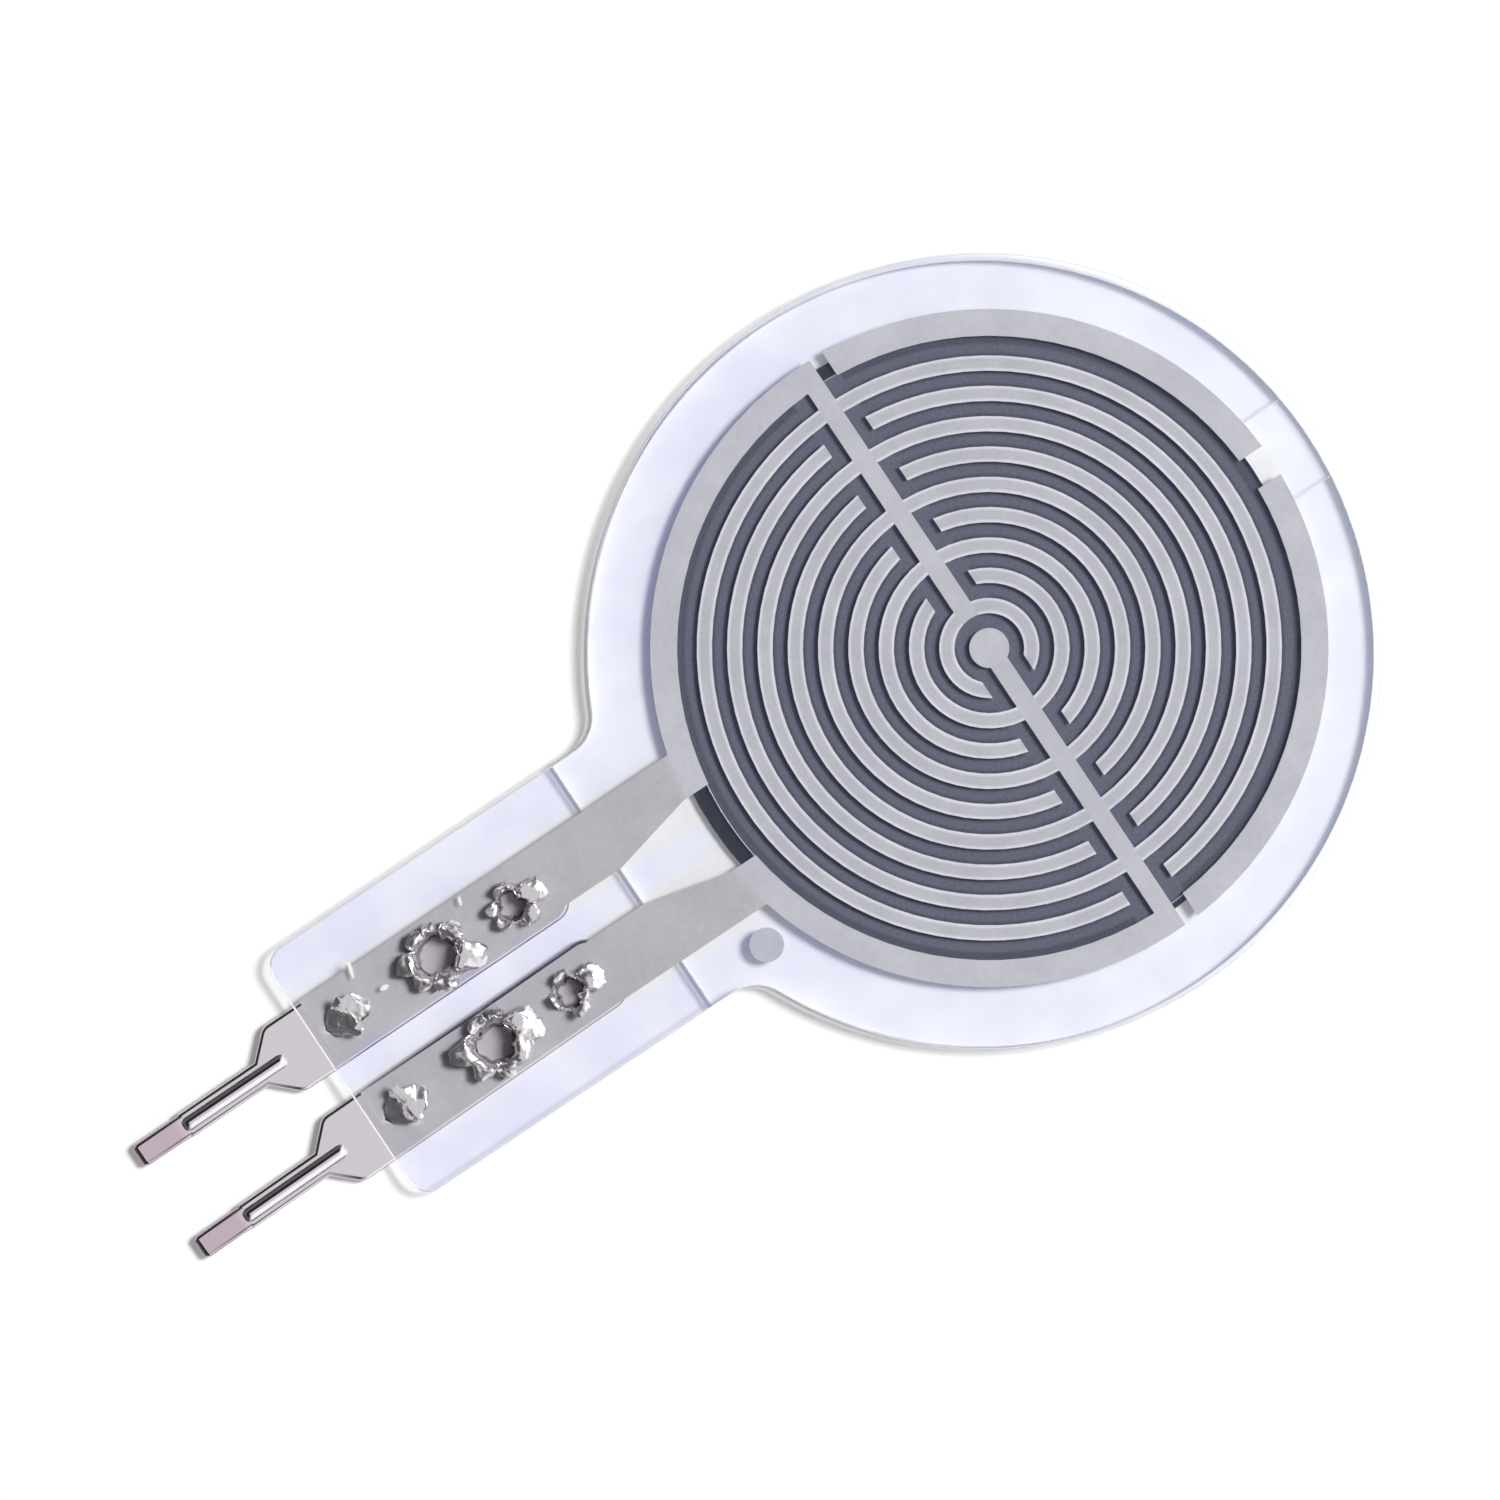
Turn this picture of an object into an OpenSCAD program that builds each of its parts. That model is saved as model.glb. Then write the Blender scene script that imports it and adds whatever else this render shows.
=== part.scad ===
// Thin-film force sensing resistor with a short tail and two crimped solder terminals.
// Origin: centre of the die-cut disc, on the rear face of the lower film.
// +X points away from the tail, +Y to the side of electrode A, +Z to the electrode film.

/* [Film outline] */
// Diameter of the die-cut disc
disc_d = 18.3; // [18:0.1:26]
// Length of the tail, from the disc's rim to the film's end
tail_l = 8.6; // [8.4:0.1:30]
// Width of the tail
tail_w = 6.66; // [5.5:0.01:9]
// Radius of the fillets where the tail meets the disc
neck_r = 0.95; // [0.4:0.05:3]
// Radius of the tail's end corners
corner_r = 0.55; // [0.2:0.05:1.2]

/* [Layers] */
// Thickness of each clear film
film_t = 0.125; // [0.05:0.005:0.25]
// Thickness of the spacer adhesive
spacer_t = 0.15; // [0.1:0.01:0.4]
// Thickness of the carbon ink
carbon_t = 0.02; // [0.01:0.005:0.04]
// Thickness of the silver ink
silver_t = 0.02; // [0.01:0.005:0.04]

/* [Finger pattern] */
// Number of silver rings, which belong to the two electrodes in turn
ring_count = 9; // [3:1:9]
// Inner radius of the first ring
ring_r = 0.8; // [0.75:0.05:1]
// Width of a ring
ring_w = 0.35; // [0.2:0.01:0.42]
// Gap between rings, and beside the spines
ring_gap = 0.346; // [0.2:0.002:0.42]
// Radius of the pad at the centre
pad_r = 0.46; // [0.3:0.01:0.5]
// Width of the spine that joins the rings of one electrode
spine_w = 0.45; // [0.3:0.01:0.6]
// Gap between the last ring and the outer band
band_gap = 0.45; // [0.3:0.01:0.7]
// Width of the outer band
band_w = 0.62; // [0.45:0.01:0.7]
// Gap between the two guard arcs
guard_gap = 0.77; // [0.4:0.01:1.5]

/* [Traces] */
// Distance between the two traces' centre lines
pitch = 2.54; // [2.4:0.01:3]
// Width of a trace
trace_w = 1.57; // [1.2:0.01:1.6]
// Bare film beyond the traces' ends
trace_end = 0.2; // [0.1:0.05:0.5]
// Width of the notch between the traces where they reach the disc
notch_w = 1.96; // [1.7:0.02:2.4]
// Length over which the traces spread to the notch's width
notch_l = 2.05; // [1:0.05:3]
// Diameter of the polarity dot
dot_d = 0.8; // [0.4:0.05:0.9]
// Gap between the polarity dot and the trace beside it
dot_gap = 0.38; // [0.2:0.01:0.6]
// Gap between the polarity dot and the outer band
dot_band_gap = 0.33; // [0.2:0.01:0.4]

/* [Spacer and carbon] */
// Margin of the outer band that the carbon leaves free
carbon_margin = 0.34; // [0.15:0.01:0.5]
// How far the spacer runs in under the outer band
spacer_lap = 0.6; // [0.3:0.01:0.7]
// Width of the air vent through the spacer
vent_w = 2.1; // [1:0.1:3]
// Clear distance from the terminals to the lower film's cut edge
step_gap = 1.3; // [0.5:0.05:1.6]

/* [Registration] */
// Shift of the print from the cut outline, along the tail
print_dx = 0.13; // [-0.3:0.01:0.3]
// Distance of the carbon's centre from the disc's centre, along the tail
carbon_dx = 0; // [-0.2:0.01:0.3]
// The same distance across the tail
carbon_dy = 0.09; // [-0.15:0.01:0.15]
// How much smaller in radius the lower layers' disc is; it touches the upper disc's rim at the neck
lower_in = 0.11; // [0.05:0.01:0.15]
// Shift of terminal A from its trace's centre line
crimp_dy_a = -0.12; // [-0.2:0.01:0.2]
// Shift of terminal B from its trace's centre line
crimp_dy_b = -0.01; // [-0.2:0.01:0.2]
// Turn of terminal A about its large crown, in degrees
crimp_turn_a = 0.3; // [-2:0.1:2]
// Turn of terminal B about its large crown, in degrees
crimp_turn_b = 1; // [-2:0.1:2]

/* [Terminal body] */
// Thickness of the strip
strip_t = 0.2; // [0.12:0.01:0.24]
// Width of the body
body_w = 1.78; // [1.7:0.01:2.1]
// Length of the body under the film
insert_l = 6.7; // [6.4:0.05:7.5]
// Length of bare body beyond the film
bare_l = 0.85; // [0.6:0.05:1.5]
// Radius of the body's inner end corners
end_r = 0.5; // [0.1:0.05:0.7]
// Length of the shoulder between body and pin
shoulder_l = 0.6; // [0.4:0.05:1]
// Radius of the shoulder's outer corners
shoulder_r = 0.35; // [0.1:0.05:0.4]

/* [Solder pin] */
// Width of the pin
pin_w = 0.64; // [0.5:0.01:0.8]
// Length of the pin, from shoulder to tip
pin_l = 2.15; // [1.5:0.05:4]
// Width of the stiffening bead along the pin
bead_w = 0.3; // [0.2:0.01:0.4]
// Height of the bead over the strip
bead_h = 0.12; // [0.05:0.01:0.13]
// Length of the ramp at each end of the bead
bead_ramp = 0.15; // [0.1:0.01:0.25]
// How far the bead runs in from the pin's root
bead_in = 0.65; // [0.3:0.05:0.9]
// Width of the recess that forming leaves under the bead
recess_w = 0.12; // [0.08:0.01:0.16]
// Length of the flat tip
tip_l = 1.27; // [0.8:0.01:3]
// Width of the flat tip
tip_w = 0.58; // [0.4:0.01:0.8]
// Length of the lead-in chamfer at the tip's end
tip_lead = 0.12; // [0.05:0.01:0.14]
// Chamfer along the tip's edges, and depth of its lead-in
tip_edge = 0.04; // [0.02:0.01:0.05]

/* [Crimp crowns] */
// Distance of the large crown from the film's end
crown_in = 3.4; // [3.2:0.05:3.8]
// Inner radius of the large crown
crown_r = 0.46; // [0.36:0.01:0.5]
// Height of the large crown over the film
crown_h = 0.27; // [0.18:0.01:0.35]
// Distance of the small crown from the large one
small_dx = 2.08; // [1.95:0.01:2.3]
// Inner radius of the small crown
small_r = 0.33; // [0.25:0.01:0.36]
// Height of the small crown and of the lance over the film
small_h = 0.22; // [0.16:0.01:0.3]
// Distance of the lance's fold from the film's end
lance_in = 0.9; // [0.85:0.05:1.1]
// Length of the lance's pointed opening
lance_l = 0.5; // [0.3:0.01:0.6]
// Width of the lance at its fold
lance_w = 0.8; // [0.5:0.01:0.9]
// How far the lance's ramp laps the point of its opening
lance_lap = 0.08; // [0.05:0.01:0.1]
// How far the lance's tongue reaches from its fold
lance_reach = 0.56; // [0.46:0.01:0.6]
// Thickness of the drawn metal in the crowns
petal_t = 0.1; // [0.06:0.01:0.12]
// Outer radius of the fold at a petal's root
fold_r = 0.14; // [0.13:0.01:0.18]
// Clearance between the crowns and the pierced film, and under the petals' ends
pierce_gap = 0.02; // [0.01:0.005:0.05]

/* [Hidden] */
$fn = 64;
over = 1;   // how far a cutting shape runs past what it cuts

disc_r = disc_d / 2;
tail_x = -disc_r - tail_l;
terminal_x = tail_x + insert_l;
step_x = terminal_x + step_gap;

// The stack, from the rear face up
z_spacer = film_t;
z_top_film = z_spacer + spacer_t;
z_silver = z_top_film - silver_t;
z_face = z_top_film + film_t;
z_petal = z_face + pierce_gap;

// Radii of the finger pattern, from the centre out
ring_pitch = ring_w + ring_gap;
band_r0 = ring_r + ring_count * ring_w + (ring_count - 1) * ring_gap + band_gap;
band_r1 = band_r0 + band_w;
carbon_r = band_r1 - carbon_margin;
opening_r = band_r1 - spacer_lap;
clear_x = spine_w / 2 + ring_gap;   // half width of the gap that a spine runs through
trace_y0 = (pitch - trace_w) / 2;
trace_y1 = (pitch + trace_w) / 2;

// Heights of the folds over the strip's top
large_top = z_face + crown_h - z_silver;
small_top = z_face + small_h - z_silver;

// The petals of each crown: direction, width at the root, width at the end,
// reach from the hole's edge
large_petals_a = [[33, 0.42, 0.28, 0.46], [-2, 0.14, 0.06, 0.4], [-40, 0.5, 0.22, 0.72],
                  [-110, 0.56, 0.3, 0.36], [180, 0.7, 0.08, 0.5], [118, 0.4, 0.16, 0.4],
                  [77, 0.26, 0.14, 0.34]];
large_petals_b = [[-3, 0.95, 0.24, 0.84], [-104, 0.52, 0.26, 0.38], [180, 0.86, 0.06, 0.56],
                  [85, 0.66, 0.4, 0.32]];
small_petals_a = [[0, 0.42, 0.36, 0.54], [-75, 0.3, 0.1, 0.34], [-150, 0.26, 0.08, 0.3],
                  [100, 0.34, 0.12, 0.28]];
small_petals_b = [[2, 0.44, 0.34, 0.54], [-92, 0.36, 0.2, 0.24], [90, 0.4, 0.2, 0.22],
                  [180, 0.3, 0.14, 0.24]];

// A petal keeps this share of its root width as far as this share of its reach, and tapers beyond
petal_keep = 0.92;
petal_waist = 0.45;

// Die-cut outlines

// Points along an arc, from the angle a0 to a1
function arc(cx, cy, r, a0, a1, n = 6) =
    [for (i = [0 : n]) [cx + r * cos(a0 + (a1 - a0) * i / n), cy + r * sin(a0 + (a1 - a0) * i / n)]];

// The same points on the other side of the X axis, in reverse order
function mirrored(points) = [for (i = [len(points) - 1 : -1 : 0]) [points[i][0], -points[i][1]]];

// The tail, whose neck fillets touch its edges and, from outside, the disc
module tail_outline() {
    reach = disc_r + neck_r;
    cy = tail_w / 2 + neck_r;
    cx = -sqrt(reach * reach - cy * cy);
    root = (disc_r - neck_r / 2) / reach * [cx, cy];
    // The fillet stops this many degrees short of the disc, so that the two outlines cross cleanly
    short = 5;
    half = concat(
        [root],
        arc(cx, cy, neck_r, atan(cy / cx) - short, -90, 10),
        arc(tail_x + corner_r, tail_w / 2 - corner_r, corner_r, 90, 180));
    polygon(concat(half, mirrored(half)));
}

module film_outline() {
    circle(disc_r, $fn = 180);
    tail_outline();
}

module lower_outline() {
    intersection() {
        union() {
            translate([-lower_in, 0]) circle(disc_r - lower_in, $fn = 180);
            tail_outline();
        }
        translate([step_x, -disc_d]) square(2 * disc_d);
    }
}

// Silver and carbon prints, drawn about the pattern's own centre

module ring_2d(r, w) {
    difference() {
        circle(r + w, $fn = 120);
        circle(r, $fn = 120);
    }
}

// Half plane strip beside the Y axis, on the side given by s, where another electrode's spine runs
module spine_gap(s) {
    translate([-clear_x, s > 0 ? 0 : -band_r1]) square([2 * clear_x, band_r1]);
}

module trace_2d() {
    end = tail_x + trace_end - print_dx;
    root = -band_r0 - band_w / 4;
    polygon([[end, trace_y0], [-band_r1 - notch_l, trace_y0], [-band_r1, notch_w / 2],
             [root, notch_w / 2], [root, trace_y1], [end, trace_y1]]);
}

// One side of the finger pattern: the trace, the band, the spine at +Y and every second ring
module electrode_2d(first) {
    trace_2d();
    intersection() {
        ring_2d(band_r0, band_w);
        translate([-band_r1, notch_w / 2]) square([band_r1 + spine_w / 2, band_r1]);
    }
    inner = first == 1 ? ring_r : 0;
    translate([-spine_w / 2, inner + ring_w / 2])
        square([spine_w, band_r0 + band_w / 2 - inner - ring_w / 2]);
    if (first == 0) circle(pad_r);
    for (k = [first == 1 ? 1 : 2 : 2 : ring_count])
        difference() {
            ring_2d(ring_r + (k - 1) * ring_pitch, ring_w);
            spine_gap(-1);
        }
}

module guard_2d() {
    intersection() {
        ring_2d(band_r0, band_w);
        translate([clear_x, guard_gap / 2]) square(band_r1);
    }
}

// The dot lies beside the trace and outside the band
module dot_2d() {
    y = trace_y1 + dot_gap + dot_d / 2;
    from_centre = band_r1 + dot_band_gap + dot_d / 2;
    translate([-sqrt(from_centre * from_centre - y * y), -y]) circle(d = dot_d);
}

// Places what lies in the terminal's own frame: X from the film's end inwards, Z from the strip's top
module at_terminal(s, dy, turn) {
    translate([tail_x + crown_in, s * pitch / 2 + dy, z_silver])
        rotate([0, 0, turn])
            translate([-crown_in, 0, 0])
                children();
}

module at_terminal_a() at_terminal(1, crimp_dy_a, crimp_turn_a) children();
module at_terminal_b() at_terminal(-1, crimp_dy_b, crimp_turn_b) children();

// What one terminal pierces through silver and film
module pierced() {
    grow = petal_t + pierce_gap;
    depth = silver_t + film_t + 2 * over;
    translate([0, 0, -over]) {
        translate([crown_in, 0, 0]) cylinder(r = crown_r + grow, h = depth);
        translate([crown_in + small_dx, 0, 0]) cylinder(r = small_r + grow, h = depth);
        translate([lance_in, 0, 0])
            linear_extrude(depth)
                polygon([[-lance_l - grow, 0], [0, -lance_w / 2 - grow], [grow, -lance_w / 2 - grow],
                         [grow, lance_w / 2 + grow], [0, lance_w / 2 + grow]]);
    }
}

module silver_print() {
    color([0.73, 0.73, 0.74])
        difference() {
            translate([print_dx, 0, z_silver]) linear_extrude(silver_t) children();
            at_terminal_a() pierced();
            at_terminal_b() pierced();
        }
}

// Terminals

// The stamped outline: a body with round corners, and shoulders down to the pin's width
module strip_outline() {
    lean = atan((body_w - pin_w) / 2 / shoulder_l);
    // How far the corner's arc starts from the corner
    back = shoulder_r * tan(lean / 2);
    half = concat(
        arc(insert_l - end_r, body_w / 2 - end_r, end_r, 0, 90),
        arc(back - bare_l, body_w / 2 - shoulder_r, shoulder_r, 90, 90 + lean),
        [[-bare_l - shoulder_l, pin_w / 2]]);
    polygon(concat(half, mirrored(half)));
}

// The bead that stiffens the pin and its root, from x0 down to x1: the top of a round bar
// that stands out of the strip, with a ramp at each end
module bead(x0, x1) {
    r = (bead_w * bead_w / 4 + bead_h * bead_h) / (2 * bead_h);
    sunk = strip_t / 2;
    intersection() {
        translate([x1, 0, bead_h - r]) rotate([0, 90, 0]) cylinder(r = r, h = x0 - x1);
        rotate([90, 0, 0])
            linear_extrude(2 * bead_w, center = true)
                polygon([[x1, -sunk], [x0, -sunk], [x0, 0], [x0 - bead_ramp, bead_h + over],
                         [x1 + bead_ramp, bead_h + over], [x1, 0]]);
    }
}

// The recess that forming leaves under the bead
module recess(x0, x1) {
    translate([x1 + bead_ramp, -recess_w / 2, -strip_t - over])
        cube([x0 - x1 - 2 * bead_ramp, recess_w, bead_h + over]);
}

// The flat tip: chamfered along its edges, with a lead-in at its end
module tip_bar() {
    e = tip_edge;
    w = tip_w / 2;
    l = tip_lead;
    t = strip_t;
    intersection() {
        rotate([90, 0, 90])
            linear_extrude(tip_l)
                polygon([[-w + e, 0], [-w, -e], [-w, e - t], [e - w, -t],
                         [w - e, -t], [w, e - t], [w, -e], [w - e, 0]]);
        rotate([90, 0, 0])
            linear_extrude(tip_w + 2 * over, center = true)
                polygon([[l, 0], [0, -e], [0, e - t], [l, -t], [tip_l, -t], [tip_l, 0]]);
        translate([0, 0, -t])
            linear_extrude(t)
                polygon([[0, l / 2 - w], [l, -w], [tip_l, -w], [tip_l, w], [l, w], [0, w - l / 2]]);
    }
}

// Sector of a ring in the plane of a petal's profile
module bend_2d(r, a0, a1) {
    far = 3 * r;
    intersection() {
        difference() {
            circle(r);
            circle(r - petal_t);
        }
        polygon([[0, 0], [far * cos(a0), far * sin(a0)],
                 [far * cos((a0 + a1) / 2), far * sin((a0 + a1) / 2)], [far * cos(a1), far * sin(a1)]]);
    }
}

// Profile of a petal: up along the hole's wall at r0, over a tight fold at the height top,
// and straight down until its end is just clear of the film
module petal_2d(r0, top, reach) {
    centre_z = top - fold_r;
    run = reach - fold_r;
    drop = top - petal_t - (z_petal - z_silver);
    slope = atan(drop / run);
    translate([r0, -strip_t]) square([petal_t, strip_t + centre_z]);
    translate([r0 + fold_r, centre_z]) {
        bend_2d(fold_r, 90 - slope, 180);
        rotate(-slope) translate([0, fold_r - petal_t]) square([run / cos(slope) + petal_t, petal_t]);
    }
}

// Plan of one torn petal, pointing along +X
module petal_plan(r0, p) {
    root = p[1] / 2;
    end = p[2] / 2;
    waist_x = r0 + petal_waist * p[3];
    polygon([[0, 0], [r0, -root], [waist_x, -petal_keep * root], [r0 + p[3], -end],
             [r0 + p[3], end], [waist_x, petal_keep * root], [r0, root]]);
}

// A crown: a drawn collar that the punch tore into petals, which the press folded over.
// All of them have the slope at which the longest one meets the film.
module crown(r0, top, petals) {
    collar_h = z_top_film + film_t / 2 - z_silver;
    reach = max([for (p = petals) p[3]]);
    translate([0, 0, -strip_t])
        difference() {
            cylinder(r = r0 + petal_t, h = strip_t + collar_h);
            translate([0, 0, -over]) cylinder(r = r0, h = strip_t + collar_h + 2 * over);
        }
    intersection() {
        rotate_extrude() petal_2d(r0, top, reach);
        translate([0, 0, -strip_t])
            linear_extrude(strip_t + top + over)
                for (p = petals) rotate(p[0]) petal_plan(r0, p);
    }
}

// The lance: the strip drawn up in a ramp from the opening's point to a ridge, and folded over.
// Its plan is the ramp's triangle, which laps the opening's edges, and a tongue with a round end.
module lance() {
    centre_z = small_top - fold_r;
    ramp_x = fold_r + lance_l;
    ramp_l = sqrt(ramp_x * ramp_x + centre_z * centre_z - fold_r * fold_r);
    rise = atan(centre_z / ramp_x) + atan(fold_r / ramp_l);
    run = lance_reach - fold_r;
    slope = atan((small_top - petal_t - (z_petal - z_silver)) / run);
    tongue_x = lance_reach - lance_w / 2;
    intersection() {
        rotate([90, 0, 0])
            linear_extrude(lance_w, center = true)
                translate([fold_r, centre_z]) {
                    bend_2d(fold_r, 90 - slope, 90 + rise);
                    rotate(rise) translate([-ramp_l, fold_r - petal_t]) square([ramp_l, petal_t]);
                    rotate(-slope)
                        translate([0, fold_r - petal_t]) square([run / cos(slope) + petal_t, petal_t]);
                }
        translate([0, 0, -strip_t])
            linear_extrude(strip_t + small_top + over)
                union() {
                    polygon([[-lance_l - lance_lap, 0], [0, -lance_w / 2], [tongue_x, -lance_w / 2],
                             [tongue_x, lance_w / 2], [0, lance_w / 2]]);
                    translate([tongue_x, 0]) circle(d = lance_w);
                }
    }
}

module terminal(large_petals, small_petals) {
    root_x = -bare_l - shoulder_l;
    tip_x = root_x - pin_l;
    small_x = crown_in + small_dx;
    difference() {
        union() {
            translate([0, 0, -strip_t])
                linear_extrude(strip_t) {
                    strip_outline();
                    translate([tip_x, -pin_w / 2]) square([pin_l + over / 2, pin_w]);
                }
            bead(root_x + bead_in, tip_x);
            translate([tip_x - tip_l, 0, 0]) tip_bar();
        }
        recess(root_x + bead_in, tip_x);
        translate([crown_in, 0, -strip_t - over]) cylinder(r = crown_r, h = strip_t + 2 * over);
        translate([small_x, 0, -strip_t - over]) cylinder(r = small_r, h = strip_t + 2 * over);
        translate([lance_in, 0, -strip_t - over])
            linear_extrude(strip_t + 2 * over)
                polygon([[-lance_l, 0], [0, -lance_w / 2 + lance_lap], [0, lance_w / 2 - lance_lap]]);
    }
    translate([crown_in, 0, 0]) crown(crown_r, large_top, large_petals);
    translate([small_x, 0, 0]) crown(small_r, small_top, small_petals);
    translate([lance_in, 0, 0]) lance();
}

// Sub-parts

module electrode_film() {
    color([0.9, 0.91, 0.98, 0.4])
        difference() {
            translate([0, 0, z_top_film]) linear_extrude(film_t) film_outline();
            at_terminal_a() pierced();
            at_terminal_b() pierced();
        }
}

module sensing_film() {
    color([0.88, 0.89, 0.96, 0.4]) linear_extrude(film_t) lower_outline();
}

module spacer_adhesive() {
    color([0.9, 0.88, 0.92, 0.4])
        difference() {
            translate([0, 0, z_spacer]) linear_extrude(spacer_t) lower_outline();
            translate([print_dx, 0, z_spacer - over]) cylinder(r = opening_r, h = spacer_t + 2 * over);
            translate([print_dx, -vent_w / 2, z_spacer - over])
                cube([disc_r + over, vent_w, spacer_t + 2 * over]);
            carbon_ink_pad();
            electrode_a();
            electrode_b();
            guard_arc_a();
            guard_arc_b();
            polarity_dot();
        }
}

module carbon_ink_pad() {
    color([0.16, 0.15, 0.2])
        translate([carbon_dx, carbon_dy, z_spacer]) cylinder(r = carbon_r, h = carbon_t, $fn = 120);
}

module electrode_a() silver_print() electrode_2d(1);
module electrode_b() silver_print() mirror([0, 1]) electrode_2d(0);
module guard_arc_a() silver_print() guard_2d();
module guard_arc_b() silver_print() mirror([0, 1]) guard_2d();
module polarity_dot() silver_print() dot_2d();

module terminal_a() {
    color([0.78, 0.76, 0.78]) at_terminal_a() terminal(large_petals_a, small_petals_a);
}

module terminal_b() {
    color([0.78, 0.76, 0.78]) at_terminal_b() terminal(large_petals_b, small_petals_b);
}

electrode_film();
sensing_film();
spacer_adhesive();
carbon_ink_pad();
electrode_a();
electrode_b();
guard_arc_a();
guard_arc_b();
polarity_dot();
terminal_a();
terminal_b();
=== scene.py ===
# %% [markdown]
# # A thin-film force sensor, dressed around its CAD frame
#
# The real object is a stack of two clear polyester films with silver and carbon inks between
# them, and two stamped terminals crimped through its tail. Nearly all of its look comes from
# how light passes through the clear layers and from the bright, creased metal of the crimps.
# The CAD frame gives every place and size. This script gives the surfaces, the rounded edges
# and the light.

# %% Load the frame
import math
import random

import bmesh
import bpy
from mathutils import Matrix, Vector, noise


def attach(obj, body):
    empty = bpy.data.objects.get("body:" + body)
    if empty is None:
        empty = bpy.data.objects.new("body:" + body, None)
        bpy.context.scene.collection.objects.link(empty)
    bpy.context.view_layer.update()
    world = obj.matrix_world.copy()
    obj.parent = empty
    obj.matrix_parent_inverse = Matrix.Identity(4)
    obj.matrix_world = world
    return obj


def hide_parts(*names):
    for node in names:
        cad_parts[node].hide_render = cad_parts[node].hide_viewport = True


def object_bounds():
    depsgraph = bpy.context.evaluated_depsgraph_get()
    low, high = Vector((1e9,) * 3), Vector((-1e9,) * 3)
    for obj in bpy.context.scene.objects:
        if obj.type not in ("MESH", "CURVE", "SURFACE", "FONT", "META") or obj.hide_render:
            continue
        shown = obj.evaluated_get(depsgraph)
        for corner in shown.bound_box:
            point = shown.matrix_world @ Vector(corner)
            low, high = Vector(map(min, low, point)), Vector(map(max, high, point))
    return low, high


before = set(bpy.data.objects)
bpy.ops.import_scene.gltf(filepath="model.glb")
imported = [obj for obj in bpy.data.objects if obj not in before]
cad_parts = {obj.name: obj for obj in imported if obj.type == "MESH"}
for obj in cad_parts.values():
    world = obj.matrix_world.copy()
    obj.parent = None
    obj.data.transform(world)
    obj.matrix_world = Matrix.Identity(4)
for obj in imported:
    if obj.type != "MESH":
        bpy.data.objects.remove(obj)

size_before = [list(v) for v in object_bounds()]
print("frame", [round(1000 * v, 3) for corner in size_before for v in corner])

# %% [markdown]
# ## A small language for materials
#
# A procedural finish is arithmetic on places: a ring is bright where the distance from its
# edge is small, a film is dense where its surface turns to the side. Written as node links
# that is hard to read, so a socket is wrapped in a class whose operators add the node that
# does the sum. The material then reads like the formula that it is.

# %% Sockets that can be added and multiplied
class Wire:
    """An output socket of a node tree; arithmetic on it adds Math nodes."""

    def __init__(self, finish, socket):
        self.finish = finish
        self.socket = socket

    def _math(self, operation, a, b=0.0):
        return self.finish.add("ShaderNodeMath", {"operation": operation}, {0: a, 1: b})

    def __add__(self, other):
        return self._math("ADD", self, other)

    __radd__ = __add__

    def __sub__(self, other):
        return self._math("SUBTRACT", self, other)

    def __rsub__(self, other):
        return self._math("SUBTRACT", other, self)

    def __mul__(self, other):
        return self._math("MULTIPLY", self, other)

    __rmul__ = __mul__

    def __truediv__(self, other):
        return self._math("DIVIDE", self, other)

    def __rtruediv__(self, other):
        return self._math("DIVIDE", other, self)

    def __neg__(self):
        return self._math("MULTIPLY", self, -1.0)

    def __abs__(self):
        return self._math("ABSOLUTE", self)

    def __pow__(self, other):
        return self._math("POWER", self, other)

    def fract(self):
        return self._math("FRACT", self)

    def least(self, other):
        return self._math("MINIMUM", self, other)

    def most(self, other):
        return self._math("MAXIMUM", self, other)


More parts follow.
